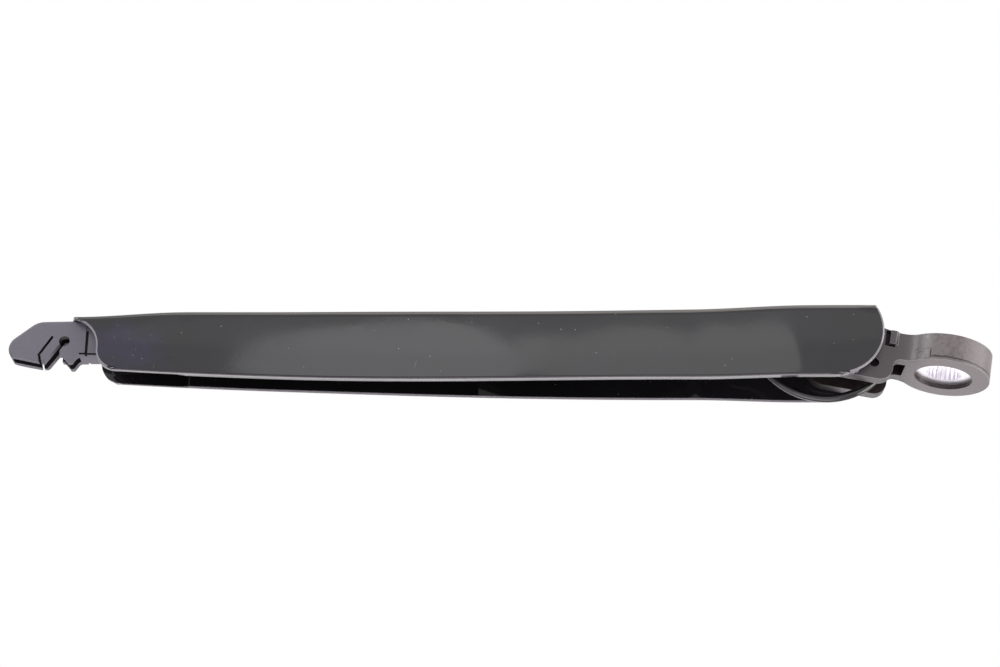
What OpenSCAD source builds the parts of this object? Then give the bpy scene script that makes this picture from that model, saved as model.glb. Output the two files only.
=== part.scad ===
// Rear wiper arm: a cast mounting head that clamps on the drive spindle, a moulded channel arm hinged
// to it, a tension spring that pulls the arm to the glass through a C-shaped hook, and a moulded clip
// that takes the cross pin of the blade.
// The origin is on the spindle axis, at the lower mouth of the splined bore. +Z points away from the
// glass and the arm runs towards -X, drooping as it does when it hangs free at its stop.

/* [Arm body] */
// Length from the hinge axis to the tip of the roof
arm_len = 237; // [215:1:260]
// Width over the walls at the blade end
tip_w = 13.5; // [12.8:0.1:15]
// Width over the walls in front of the shoulder
mid_w = 20.4; // [18:0.1:21.5]
// Depth of the walls below the hinge axis
belly = 11.7; // [11:0.1:13]
// Height of the roof's corners above the hinge axis
shoulder = 11.7; // [11.5:0.1:13]
// How much the bottom edge rises at the blade end
tip_rise = 3.7; // [2:0.1:5]
// How much the roof drops at the blade end
tip_drop = 1.6; // [1:0.1:2]
// Dip of the roof half way along
waist = 0.9; // [0:0.1:1.5]
// Wall thickness
wall = 2.5; // [2.2:0.1:2.8]
// Wall thickness round the blade clip
tip_wall = 1.7; // [1.4:0.1:1.9]
// Roof thickness
roof = 2.2; // [1.8:0.1:2.3]
// Roof thickness over the blade clip
tip_roof = 0.8; // [0.7:0.1:1.0]
// Outer radius where wall and roof meet
corner_r = 2.6; // [2:0.1:3]
// Slope of the crowned roof where it leaves the corners
crown_angle = 17; // [8:1:20]
// How far the walls lean in from the bottom edge to the roof
draft = 0.4; // [0.1:0.1:0.8]
// Radius of the walls' outer bottom edge
edge_r = 0.6; // [0.3:0.1:0.8]

/* [Hinge] */
// Angle that the free arm droops below square to the spindle
droop = 11; // [10:0.5:12]
// Radius of the hinge pin
pin_r = 2.5; // [2:0.1:2.8]
// Wall of the bushes in the head
bush_wall = 1; // [0.8:0.1:1.2]
// Play between pin and bush, on the radius
pin_play = 0.05; // [0.02:0.01:0.09]
// Skin left over the pin on the closed side
pin_skin = 0.9; // [0.6:0.1:1.2]
// Gap between each ear and the arm's wall
side_gap = 1.7; // [1.4:0.1:2.2]

/* [Mounting head] */
// Distance from the spindle axis to the hinge axis
hinge_reach = 28.4; // [27.5:0.1:30]
// Height of the hinge axis above the lower mouth of the bore
hinge_rise = 1.25; // [0.8:0.05:1.6]
// Radius of the ring round the spindle
ring_r = 13.8; // [13:0.1:14.5]
// Height of the ring
ring_h = 8.5; // [7.5:0.1:9]
// Radius of the splined bore
bore_r = 5.2; // [4.5:0.1:5.8]
// Outer radius of the splined bush
spline_bush_r = 8.6; // [7.5:0.1:9]
// Depth of the recess below the bush
recess = 1.5; // [1:0.1:2]
// Number of spline grooves
splines = 24; // [18:1:26]
// Width of a spline groove
groove_w = 0.3; // [0.2:0.02:0.32]
// Depth of a spline groove
groove_d = 0.35; // [0.2:0.05:0.5]
// Radius of the hollow corners between neck and ring
neck_fillet = 6; // [4:0.5:9]
// Width over the two ears
ears_w = 16; // [15:0.1:16.8]
// Thickness of one ear
ear_t = 3.9; // [3.4:0.1:4.2]
// Height of the neck above the hinge axis
neck_h = 7; // [6.5:0.1:7.2]
// Depth of the ears below the hinge axis
ear_drop = 10.2; // [9.8:0.1:10.6]

/* [Spring and hook] */
// Distance of the spring pin behind the hinge axis, along the arm
spring_pin_x = 5.4; // [5.2:0.1:6]
// Depth of the spring pin below the hinge axis
spring_pin_drop = 6.2; // [6:0.1:6.6]
// Radius of the spring pin
spring_pin_r = 1.5; // [1.2:0.1:1.6]
// Radius of the hook's wire
hook_wire_r = 1.25; // [1:0.05:1.3]
// Radius of the hook's large bend
hook_bend = 22; // [21:0.5:24]
// Distance from the spring pin to the spring's first loop
hook_reach = 39.8; // [38:0.2:42]
// Radius of the spring's wire
spring_wire_r = 0.7; // [0.5:0.05:0.75]
// Mean radius of the spring's coils
coil_r = 3.3; // [2.8:0.1:3.5]
// Number of coils
coils = 34; // [20:1:36]
// Distance from the hinge axis to the spring's anchor pin
anchor_x = 122; // [110:1:130]
// Height of the anchor pin above the hinge axis
anchor_rise = 3.2; // [1:0.1:4]
// Radius of the anchor pin
anchor_r = 1.5; // [1.2:0.1:1.8]
// How deep the anchor pin sits in each wall
anchor_seat = 1.4; // [1:0.1:1.6]

/* [Blade clip] */
// Width over the clip's cheeks
clip_w = 7.6; // [7.2:0.1:8.4]
// Gap between the cheeks
clip_gap = 3.2; // [2.8:0.1:3.8]
// Distance of the pin seat beyond the tip of the roof
seat_reach = 1.9; // [1.5:0.1:3]
// Height of the pin seat above the hinge axis
seat_rise = 2.3; // [1.8:0.1:2.8]
// Radius of the pin seat
seat_r = 1.6; // [1.4:0.05:1.8]
// Width of the seat's entry slot
entry_w = 1.4; // [1:0.05:1.6]
// Width of the slot behind the latch tongue
latch_slot = 0.75; // [0.6:0.05:0.9]

/* [Hidden] */
$fn = 64;
far = 60; // longer than any cut has to reach

// Heights in the head's frame
ring_bottom = -recess;
ring_top = ring_bottom + ring_h;
ring_edge = 0.5; // rounding of the ring's lower rim
ring_brow = 0.8; // rounding of its upper rim
neck_low = ring_bottom - hinge_rise; // the head's underside and top, from the hinge axis
neck_high = ring_top - hinge_rise;
ear_gap = ears_w - 2 * ear_t;
bush_r = pin_r + pin_play + bush_wall;

// Places along the arm, in its own frame: hinge axis at the origin, blade end towards -x
tip_x = -arm_len;
arm_end = 10;
taper_from = tip_x + 62;
taper_to = -55;
shoulder_from = -48;
shoulder_to = -15;
clip_room_to = tip_x + 33; // the walls are thinner from here to the tip
clip_ceiling = roof_z(tip_x + 4) - tip_roof; // inner face of the roof above the clip
hinge_w = ears_w + 2 * (side_gap + wall); // width over the walls at the hinge
notch_x = -2.2; // the roof stops here, to let the neck rise into the channel

// Spring line, from the spring pin to the anchor pin
pin_at = [spring_pin_x, -spring_pin_drop];
anchor_at = [-anchor_x, anchor_rise];
pull = anchor_at - pin_at;
pull_len = norm(pull);
pull_angle = atan2(pull[1], pull[0]);
eye_gap = 0.08;
loop_play = 0.15;
eye_r = spring_pin_r + eye_gap + hook_wire_r;
hook_loop_r = hook_wire_r + loop_play + spring_wire_r;
anchor_loop_r = anchor_r + eye_gap + spring_wire_r;

function clamp01(t) = min(1, max(0, t));
function ease(t) = let (c = clamp01(t)) c * c * (3 - 2 * c);
function polar(r, a) = [r * cos(a), r * sin(a)];

// Side view of the arm as functions of x
function bottom_z(x) = -belly + tip_rise * pow(1 - clamp01((x - tip_x - 15) / (arm_len * 0.6)), 2.4);
function roof_z(x) =
    shoulder - tip_drop * ease((tip_x + 35 - x) / 34)
    - waist * pow(sin(180 * clamp01(-x / (arm_len - 77))), 2);
function half_w(x) =
    tip_w / 2
    + (mid_w - tip_w) / 2 * ease((x - taper_from) / (taper_to - taper_from))
    + (hinge_w - mid_w) / 2 * ease((x - shoulder_from) / (shoulder_to - shoulder_from));

// Half of the channel's outer section, from the bottom edge to the middle of the roof
function outer_half(w, zb, zt) =
    let (
        cy = w - draft - corner_r,
        cz = zt - corner_r,
        last = 90 - crown_angle,
        ey = cy + corner_r * cos(last),
        ez = cz + corner_r * sin(last),
        rise = tan(crown_angle) * ey / 2
    )
    concat(
        [for (a = [-90:30:0]) [w - edge_r + edge_r * cos(a), zb + edge_r + edge_r * sin(a)]],
        [for (t = [0.25, 0.5, 0.75]) [w - draft * t * t, zb + (zt - corner_r - zb) * t]],
        [for (k = [0:7]) [cy + corner_r * cos(last * k / 7), cz + corner_r * sin(last * k / 7)]],
        [[ey * 0.6, ez + rise * 0.64], [0, ez + rise]]
    );

// Half of the inner section, from the middle of the ceiling down to the bottom edge
function inner_half(w, zb, zt) =
    let (
        iw = w - draft - wall,
        iz = zt - roof,
        rise = tan(crown_angle) * iw / 2
    )
    [
        [0, iz + rise],
        [iw * 0.55, iz + rise * 0.7],
        [iw - 1, iz + rise * 0.1],
        [iw - 0.1, iz - 0.9],
        [w - wall, zb]
    ];

function mirrored(points) = [for (p = points) [-p[0], p[1]]];
function backwards(list) = [for (i = [len(list) - 1:-1:0]) list[i]];
function but_last(list) = [for (i = [0:len(list) - 2]) list[i]];
function but_first(list) = [for (i = [1:len(list) - 1]) list[i]];

function section(x) =
    let (
        w = half_w(x),
        zb = bottom_z(x),
        zt = roof_z(x),
        out = outer_half(w, zb, zt),
        inn = inner_half(w, zb, zt)
    )
    concat(
        out,
        backwards(mirrored(but_last(out))),
        backwards(mirrored(but_first(inn))),
        inn
    );

stations = concat(
    [for (x = [tip_x - 1:4:tip_x + 39]) x],
    [for (k = [1:14]) tip_x + 39 + (arm_len - 39 - 50) * k / 14],
    [for (x = [-47:3:-14]) x],
    [-8, 0, arm_end]
);

// Triangles between the outer and the inner line of a section, as indices into the section
outer_last = 2 * len(outer_half(10, 0, 20)) - 2;
inner_last = 2 * len(inner_half(10, 0, 20)) - 2;
section_last = outer_last + inner_last + 1;
function facing(i) = section_last - floor(i * inner_last / outer_last + 0.5);
cap_triangles = [
    for (i = [0:outer_last - 1])
        each concat([[i, i + 1, facing(i)]], facing(i + 1) < facing(i) ? [[i + 1, facing(i + 1), facing(i)]] : [])
];

// The channel as one loft through the sections
module channel_loft() {
    count = len(section(0));
    points = [for (x = stations) for (p = section(x)) [x, p[0], p[1]]];
    last = (len(stations) - 1) * count;
    sides = [
        for (s = [0:len(stations) - 2], i = [0:count - 1])
            let (a = s * count + i, b = s * count + (i + 1) % count)
            each [[a, b, b + count], [a, b + count, a + count]]
    ];
    first_cap = [for (t = cap_triangles) [t[2], t[1], t[0]]];
    last_cap = [for (t = cap_triangles) [for (i = t) last + i]];
    polyhedron(points = points, faces = concat(sides, first_cap, last_cap), convexity = 6);
}

// Stands a drawing made in x and z upright and gives it a width in y
module upright(width) {
    rotate([90, 0, 0]) linear_extrude(height = width, center = true, convexity = 6) children();
}

module cross_cylinder(x, z, r, width) {
    translate([x, 0, z]) rotate([90, 0, 0]) cylinder(h = width, r = r, center = true);
}

// What is cut from the walls' end at the blade: a hollow curve above, a round corner below
module tip_outline_cut() {
    hollow_r = 9;
    heel_r = 6.7;
    wall_end = tip_x + 8.2;
    turn_z = bottom_z(wall_end) + heel_r + 1;
    translate([wall_end - hollow_r, turn_z]) circle(r = hollow_r);
    translate([tip_x - far, turn_z - far]) square([far + 8.2, far]);
    translate([tip_x - far, turn_z - 0.01]) square([far - 0.8, hollow_r]);
    difference() {
        translate([wall_end - 1, -far]) square([heel_r + 1, far + turn_z - 1]);
        translate([wall_end + heel_r, turn_z - 1]) circle(r = heel_r);
        translate([wall_end + heel_r, -far]) square([far, 2 * far]);
    }
}

// What is cut from the walls' end at the hinge: two arcs about the pin
module hinge_outline_cut() {
    end_x = 8.35;
    heel_r = 15.2;
    heel = [end_x + 0.2 - heel_r, heel_r - belly + 0.05];
    brow_r = 6.4;
    brow = [end_x - brow_r, shoulder - brow_r - 0.3];
    difference() {
        translate([heel[0], -far]) square([far, 2 * far]);
        translate(heel) circle(r = heel_r, $fn = 128);
        translate(brow) circle(r = brow_r);
        translate([heel[0] - 1, heel[1]]) square([end_x - heel[0] + 1, brow[1] - heel[1]]);
        translate([heel[0] - 1, heel[1]]) square([brow[0] - heel[0] + 1, far]);
    }
}

// Rounds the roof's lip when seen from above
module lip_cut() {
    lip_r = 10;
    difference() {
        translate([tip_x - far, -far, 0]) cube([far + lip_r, 2 * far, far]);
        translate([tip_x + lip_r, 0, -1]) cylinder(h = far + 2, r = lip_r + tip_w / 40);
    }
}

module arm_body() {
    clip_room = tip_w - 2 * tip_wall;
    notch_w = hinge_w - 2 * wall - 2 * draft;
    color([0.12, 0.12, 0.13])
    place_arm()
    difference() {
        channel_loft();
        upright(2 * far) tip_outline_cut();
        upright(2 * far) hinge_outline_cut();
        translate([0, 0, roof_z(tip_x) - 4]) lip_cut();
        clip_room_cut(clip_room);
        translate([notch_x, -notch_w / 2, 0]) cube([far, notch_w, far]);
        translate([0, far / 2 - hinge_w / 2 + pin_skin, 0])
            rotate([90, 0, 0]) cylinder(h = far, r = pin_r, center = true);
        cross_cylinder(anchor_at[0], anchor_at[1], anchor_r, anchor_span());
    }
}

// Thins the walls and the roof where the clip enters, with a slope back to their full thickness
module clip_room_cut(room) {
    slope_l = 2.6;
    slope_in = 0.75;
    hull() {
        clip_room_slab(tip_x - 2, clip_room_to - tip_x + 2, room / 2, clip_ceiling);
        clip_room_slab(clip_room_to, slope_l, room / 2 - slope_in, clip_ceiling - 1.2);
    }
}

module clip_room_slab(x, length, side, ceiling) {
    bevel = 1;
    translate([x, 0, 0])
    rotate([90, 0, 90])
    linear_extrude(height = length)
    polygon([[-side, -far], [side, -far], [side, ceiling - bevel], [side - bevel, ceiling],
             [bevel - side, ceiling], [-side, ceiling - bevel]]);
}

function anchor_span() = 2 * (half_w(-anchor_x) - wall + anchor_seat - draft * 0.6);

module place_arm() {
    translate([-hinge_reach, 0, hinge_rise]) rotate([0, -droop, 0]) children();
}

module place_head_at_hinge() {
    translate([-hinge_reach, 0, hinge_rise]) children();
}

// Outline of the clip seen from the side, pin seat at the origin
module clip_bulk() {
    top = clip_ceiling - seat_rise - 0.1;
    hull() {
        translate([-12.5, -2.1]) circle(r = 4.4, $fn = 32);
        translate([-6.5, 0.7]) circle(r = 6, $fn = 32);
        translate([4, top - 0.9]) circle(r = 0.9, $fn = 32);
        translate([24, top - 1.3]) circle(r = 0.9, $fn = 32);
        translate([24, -3.7]) circle(r = 0.9, $fn = 32);
        translate([-8, -6.1]) circle(r = 0.9, $fn = 32);
    }
}

module clip_shell() {
    hull() {
        linear_extrude(height = clip_w, center = true) offset(delta = -0.9) clip_bulk();
        linear_extrude(height = clip_w - 0.6, center = true) offset(delta = -0.3) clip_bulk();
        linear_extrude(height = clip_w - 1.8, center = true) clip_bulk();
    }
}

// What is kept of the clip seen from the side: nose and tongue, shank, and the prong below the seat
module clip_outline() {
    difference() {
        union() {
            polygon([[-20, 12], [-20, -4.2], [-15.2, -4.9], [-6.4, -6.8], [-4.6, -7], [-1, -2.6], [-1, 12]]);
            translate([-1.2, -4.6]) square([26, 17]);
            polygon([[-1.1, -2.4], [-1, -4.1], [0.5, -5.7], [1.2, -6.5], [2.6, -6.8], [3.1, -6], [3.8, -5],
                     [4.8, -4.4], [4.8, -2]]);
            translate([1.9, -6.1]) circle(r = 0.9);
        }
        rotate([0, 0, 235]) translate([0, -entry_w / 2]) square([12, entry_w]);
        translate([-3.8, 1.3]) rotate([0, 0, 237.5]) translate([0, -latch_slot / 2]) square([7, latch_slot]);
        translate([-7.4, -4.3]) rotate([0, 0, 282]) translate([-0.2, -latch_slot / 2]) square([5, latch_slot]);
        translate([-3.8, 1.3]) circle(r = latch_slot / 2);
        circle(r = seat_r);
    }
}

// The space between the clip's cheeks, open below
module clip_cavity() {
    polygon([[-15.6, -12], [-15.6, -0.5], [-13.4, 1.6], [-8, 4.2], [4.6, 4.6], [4.6, -12]]);
}

module blade_clip() {
    shank_x = 6.4; // a groove sets the shank off from the cheeks
    groove_l = 0.75;
    groove_in = 0.9;
    shank_in = 0.3; // how far the shank's sides lie below the cheeks
    ledge_x = 4.7; // a second groove runs along the shank's lower edge
    ledge_z = -4.3;
    ledge_h = 0.5;
    room = tip_w - 2 * tip_wall;
    pad_x = 14;
    pad_l = 9;
    color([0.42, 0.41, 0.45])
    place_arm()
    translate([tip_x - seat_reach, 0, seat_rise])
    rotate([90, 0, 0])
    difference() {
        union() {
            intersection() {
                union() {
                    clip_shell();
                    translate([1.2, -8.6, -clip_w / 2]) cube([4, 6, clip_w]);
                    translate([-1.2, -8.6, -clip_w / 2]) cube([4, 6, clip_w]);
                }
                linear_extrude(height = clip_w, center = true, convexity = 6) clip_outline();
            }
            translate([pad_x, -3.4, -room / 2]) cube([pad_l, 8, room]);
        }
        linear_extrude(height = clip_gap, center = true) clip_cavity();
        for (s = [-1, 1]) {
            translate([shank_x, -9, s * (clip_w / 2 + 1 - groove_in) - 1]) cube([groove_l, 12.4, 2]);
            translate([shank_x, -9, s * (clip_w / 2 + 1 - shank_in) - 1]) cube([pad_x - shank_x, 18, 2]);
            translate([ledge_x, ledge_z, s * (clip_w / 2 + 1 - groove_in) - 1]) cube([pad_x - ledge_x, ledge_h, 2]);
        }
    }
}

// Side view of the ears, hinge axis at the origin: a long nose in front, a round toe below, and a
// hollow corner where the toe runs into the neck's underside
module ear_outline() {
    toe_r = 4;
    toe_x = 8.2;
    heel_r = 6;
    heel_x = -6.5;
    nose_r = 2.4;
    nose_x = -10;
    brow_x = 5; // the top edge falls from here to the neck's top
    hollow_r = 2.2;
    hull() {
        translate([toe_x, toe_r - ear_drop]) circle(r = toe_r, $fn = 96);
        translate([heel_x, heel_r - ear_drop]) circle(r = heel_r, $fn = 96);
        translate([nose_x, neck_h - nose_r]) circle(r = nose_r, $fn = 96);
        translate([brow_x - 2, neck_h - 2]) square(2);
        translate([toe_x + toe_r - 2, neck_high - 2]) square(2);
    }
    difference() {
        translate([toe_x, neck_low - hollow_r]) square([toe_r + hollow_r, neck_high - neck_low + hollow_r]);
        translate([toe_x + toe_r + hollow_r, neck_low - hollow_r]) circle(r = hollow_r);
    }
}

// The neck seen from above: as wide as the ears, then hollow corners into the ring
module neck_plan() {
    across = ears_w / 2 + neck_fillet;
    back = sqrt(pow(ring_r + neck_fillet, 2) - across * across);
    touch = ring_r / (ring_r + neck_fillet);
    difference() {
        union() {
            translate([hinge_reach, 0]) circle(r = ring_r, $fn = 128);
            translate([8, -ears_w / 2]) square([hinge_reach - 8, ears_w]);
            translate([hinge_reach - back, -across * touch]) square([back * (1 - touch), 2 * across * touch]);
        }
        for (s = [-1, 1]) translate([hinge_reach - back, s * across]) circle(r = neck_fillet);
    }
}

// A small raised step in the casting's near flank, where the halves of its mould met
module mould_step() {
    proud = 0.25;
    step_to = hinge_reach - 6.5;
    step_w = 1.5;
    bar_w = 3.5;
    bar_top = 0.5;
    bar_h = 0.6;
    intersection() {
        translate([hinge_reach, 0, neck_low + ring_edge]) cylinder(h = ring_h, r = ring_r + proud, $fn = 128);
        union() {
            translate([step_to - step_w, -far, neck_low]) cube([step_w, far, bar_top - neck_low]);
            translate([step_to - bar_w, -far, bar_top - bar_h]) cube([bar_w, far, bar_h]);
        }
    }
}

module ring_blank() {
    rotate_extrude($fn = 128)
    difference() {
        translate([0, ring_bottom]) square([ring_r, ring_h]);
        difference() {
            translate([ring_r - ring_edge, ring_bottom - 1]) square([ring_edge + 1, ring_edge + 1]);
            translate([ring_r - ring_edge, ring_bottom + ring_edge]) circle(r = ring_edge);
        }
        difference() {
            translate([ring_r - ring_brow, ring_top - ring_brow]) square([ring_brow + 1, ring_brow + 1]);
            translate([ring_r - ring_brow, ring_top - ring_brow]) circle(r = ring_brow);
        }
    }
}

// Space between the ears for the hook: open below and in front, roofed towards the neck
module ear_pocket() {
    web_from = 2.5;
    pocket_end = 16.2;
    ceiling = 3.4;
    translate([-far, -ear_gap / 2, -far]) cube([far + web_from, ear_gap, 2 * far]);
    translate([0, -ear_gap / 2, -far]) cube([pocket_end, ear_gap, far + ceiling]);
}

// Guide lugs on the ears' flanks, each with a relief in front of it and below it
lug_x = 10.2;
lug_l = 1.8;
lug_low = 1.6;
lug_h = 4.3;
module guide_lugs() {
    proud = 0.9;
    slope_l = 0.8;
    translate([0, 0, lug_low])
    linear_extrude(height = lug_h)
    for (s = [-1, 1])
        polygon([[lug_x, 0], [lug_x, s * (ears_w / 2 + proud)], [lug_x + lug_l, s * (ears_w / 2 + proud)],
                 [lug_x + lug_l + slope_l, s * ears_w / 2], [lug_x + lug_l + slope_l, 0]]);
}

module lug_reliefs() {
    relief_l = 1.4;
    relief_h = 0.7;
    relief_in = 1.4;
    for (s = [-1, 1])
        translate([lug_x - relief_l, s * (ears_w / 2 + 1 - relief_in) - 1, lug_low - relief_h]) {
            cube([relief_l, 2, lug_h + relief_h]);
            cube([relief_l + lug_l, 2, relief_h]);
        }
}

module mounting_head() {
    pin_hole = polar(norm(pin_at), atan2(pin_at[1], pin_at[0]) + droop);
    color([0.30, 0.29, 0.30])
    difference() {
        union() {
            ring_blank();
            place_head_at_hinge() {
                upright(ears_w) ear_outline();
                translate([0, 0, neck_low]) linear_extrude(height = neck_high - neck_low) neck_plan();
                mould_step();
                guide_lugs();
            }
        }
        translate([0, 0, ring_bottom - 1]) cylinder(h = ring_h + 2, r = spline_bush_r);
        place_head_at_hinge() {
            ear_pocket();
            lug_reliefs();
            cross_cylinder(0, 0, bush_r, far);
            cross_cylinder(pin_hole[0], pin_hole[1], spring_pin_r, far);
        }
    }
}

module spline_bush() {
    color([0.86, 0.86, 0.88])
    difference() {
        cylinder(h = ring_top, r = spline_bush_r);
        translate([0, 0, -1]) cylinder(h = ring_top + 2, r = bore_r);
        for (k = [0:splines - 1])
            rotate([0, 0, 360 * k / splines])
                translate([0, -groove_w / 2, -1]) cube([bore_r + groove_d, groove_w, ring_top + 2]);
    }
}

module hinge_bush(side) {
    color([0.55, 0.53, 0.45])
    place_head_at_hinge()
    translate([0, side * (ears_w - ear_t) / 2, 0])
    difference() {
        rotate([90, 0, 0]) cylinder(h = ear_t, r = bush_r, center = true);
        rotate([90, 0, 0]) cylinder(h = far, r = pin_r + pin_play, center = true);
    }
}

module hinge_bush_near() {
    hinge_bush(-1);
}

module hinge_bush_far() {
    hinge_bush(1);
}

module hinge_pin() {
    flush = 0.5;
    length = hinge_w - pin_skin - flush;
    color([0.7, 0.7, 0.72])
    place_arm()
    translate([0, (pin_skin - flush) / 2, 0])
    rotate([90, 0, 0]) cylinder(h = length, r = pin_r, center = true);
}

module spring_pin() {
    sunk = 1.2;
    color([0.5, 0.5, 0.52])
    place_arm()
    cross_cylinder(pin_at[0], pin_at[1], spring_pin_r, ears_w - 2 * sunk);
}

module anchor_pin() {
    color([0.5, 0.5, 0.52])
    place_arm()
    cross_cylinder(anchor_at[0], anchor_at[1], anchor_r, anchor_span());
}

// Points along an arc in the x-z plane, about a centre, from one angle to another
function arc_line(centre, r, from, to, step) =
    let (count = ceil(abs(to - from) / step))
    [for (k = [0:count]) let (p = centre + polar(r, from + (to - from) * k / count)) [p[0], 0, p[1]]];

// The hook wraps the spring pin, runs in a large bend below the hinge pin, rises towards the spring
// line and ends in a small crook that holds the spring's loop.
module spring_hook() {
    leave = -44;
    rise_to = -132;
    crook_r = 2.2;
    ease_r = 4;
    bend_at = pin_at + polar(eye_r - hook_bend, leave);
    rise_from = bend_at + polar(hook_bend, rise_to);
    rise_dir = rise_to + 270;
    crook_at = pin_at + polar(hook_reach - crook_r, pull_angle);
    run_end = crook_at + polar(crook_r, pull_angle + 90);
    ease_step = polar(ease_r, rise_dir + 90) - polar(ease_r, pull_angle + 90);
    gap = run_end - rise_from - ease_step;
    along = polar(1, rise_dir);
    across = polar(1, pull_angle);
    rise_len = (gap[0] * across[1] - gap[1] * across[0]) / (along[0] * across[1] - along[1] * across[0]);
    ease_at = rise_from + rise_len * along + polar(ease_r, rise_dir + 90);
    line = concat(
        arc_line(pin_at, eye_r, 185, leave, 12),
        but_first(arc_line(bend_at, hook_bend, leave, rise_to, 5)),
        arc_line(ease_at, ease_r, rise_dir - 90, pull_angle - 90, 10),
        arc_line(crook_at, crook_r, pull_angle + 90, pull_angle - 100, 12)
    );
    color([0.13, 0.13, 0.14])
    place_arm()
    swept_wire(line, hook_wire_r, 16);
}

// Centre line of the spring. Its own frame has the anchor pin at the origin and the hook's loop at +x.
spring_len = pull_len - hook_reach;
lead = 5;
coil_from = anchor_loop_r + lead;
coil_to = spring_len - hook_loop_r - lead;
function lead_point(x0, x1, t, turn) =
    let (r = coil_r * ease(t), a = turn * t) [x0 + (x1 - x0) * t, r * sin(a), r * cos(a)];
spring_line = concat(
    [for (a = [-150:25:-25]) let (p = polar(anchor_loop_r, 180 + a)) [p[0], 0, p[1]]],
    [for (a = [0:25:150]) let (p = polar(anchor_loop_r, 180 + a)) [p[0], 0, p[1]]],
    [for (t = [0.1:0.15:0.9]) lead_point(anchor_loop_r, coil_from, t, 360)],
    [for (k = [0:coils * 10])
        [coil_from + (coil_to - coil_from) * k / (coils * 10), coil_r * sin(36 * k), coil_r * cos(36 * k)]],
    [for (t = [0.9:-0.15:0.1]) lead_point(spring_len - hook_loop_r, coil_to, t, -360)],
    [for (a = [180 - 20:-25:-150]) let (p = polar(hook_loop_r, a)) [spring_len + p[0], p[1], 0]]
);

function unit(v) = v / norm(v);
function heading(line, i) =
    unit(line[min(i + 1, len(line) - 1)] - line[max(i - 1, 0)]);
function carried(old, dir) = unit(old - dir * (old * dir));
function frames(line, i, old) =
    i >= len(line) ? [] :
    let (side = carried(old, heading(line, i)))
    concat([side], frames(line, i + 1, side));

// A round wire swept along a line of points, with its section carried without twist
module swept_wire(line, wire_r, sides) {
    side = frames(line, 0, [0.1, 0.98, 0.1]);
    points = [
        for (i = [0:len(line) - 1])
            let (d = heading(line, i), n = side[i], b = cross(d, n))
            for (k = [0:sides - 1]) line[i] + wire_r * (n * cos(360 * k / sides) + b * sin(360 * k / sides))
    ];
    last = (len(line) - 1) * sides;
    walls = [
        for (i = [0:len(line) - 2], k = [0:sides - 1])
            let (a = i * sides + k, b = i * sides + (k + 1) % sides)
            each [[a, b + sides, b], [a, a + sides, b + sides]]
    ];
    caps = [[for (k = [0:sides - 1]) k], [for (k = [sides - 1:-1:0]) last + k]];
    polyhedron(points = points, faces = concat(walls, caps), convexity = 10);
}

module tension_spring() {
    color([0.35, 0.35, 0.37])
    place_arm()
    translate([anchor_at[0], 0, anchor_at[1]])
    rotate([0, 180 - pull_angle, 0])
    swept_wire(spring_line, spring_wire_r, 6);
}

mounting_head();
spline_bush();
hinge_bush_near();
hinge_bush_far();
spring_pin();
arm_body();
blade_clip();
hinge_pin();
anchor_pin();
spring_hook();
tension_spring();
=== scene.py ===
"""Looks of a rear wiper arm: its channel arm, cast mounting head, spring, hook and blade clip."""

import logging
import math
from dataclasses import dataclass, field
from enum import Enum

import bmesh
import bpy
from mathutils import Matrix, Vector
from mathutils.bvhtree import BVHTree


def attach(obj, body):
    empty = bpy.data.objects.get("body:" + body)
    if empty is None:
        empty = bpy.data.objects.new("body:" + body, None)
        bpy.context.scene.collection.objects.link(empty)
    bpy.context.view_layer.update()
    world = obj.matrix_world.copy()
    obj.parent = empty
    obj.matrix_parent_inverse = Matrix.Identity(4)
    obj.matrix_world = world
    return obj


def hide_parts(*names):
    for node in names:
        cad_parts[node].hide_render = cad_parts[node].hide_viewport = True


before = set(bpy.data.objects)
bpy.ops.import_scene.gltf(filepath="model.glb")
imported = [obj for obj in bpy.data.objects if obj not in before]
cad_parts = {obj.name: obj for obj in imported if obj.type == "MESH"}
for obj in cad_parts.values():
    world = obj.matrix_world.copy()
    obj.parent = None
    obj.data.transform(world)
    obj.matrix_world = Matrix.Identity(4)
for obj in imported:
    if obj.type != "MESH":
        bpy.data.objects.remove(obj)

log = logging.getLogger("wiper_arm")
logging.basicConfig(level=logging.INFO, format="%(name)s: %(message)s")

Tree = bpy.types.NodeTree
Socket = bpy.types.NodeSocket
# Colour, roughness and bump height.
Surface = tuple[Socket, Socket, Socket]
# A place or a size along x, y and z.
Millimetres = tuple[float, float, float]

MM = 0.001

# Values of a cloudy noise between which a finish goes from one end of its roughness to the other.
CLOUD_SPAN = (0.3, 0.7)
# Shares of enclosure where the painted shade begins and where it is full.
PAINTED_SHADE_SPAN = (0.3, 0.7)
# The shader's own level of mirror reflection, on faces that get no painted shade.
UNSHADED_MIRROR = 0.5
# How far apart points may lie and still be merged.
MERGE_MM = 0.002
# How many directions are tried from each face to see how enclosed it is, and how far off it they start.
ENCLOSURE_RAYS = 32
RAY_START_MM = 0.02
# Faces that turn less than this against each other are on the same side of an edge.
SAME_SIDE_DEG = 40.0


def linear_rgba(hex_code: str) -> tuple[float, float, float, float]:
    """Turns an sRGB hex value into a linear, opaque colour by the standard's own curve.

    Args:
        hex_code: A # and six hex digits.

    Returns:
        Red, green, blue and alpha for a shader's socket.
    """
    digits = hex_code.lstrip("#")
    values = [int(digits[i : i + 2], 16) / 255 for i in (0, 2, 4)]
    lin = [v / 12.92 if v <= 0.04045 else ((v + 0.055) / 1.055) ** 2.4 for v in values]
    return (lin[0], lin[1], lin[2], 1.0)


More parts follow.
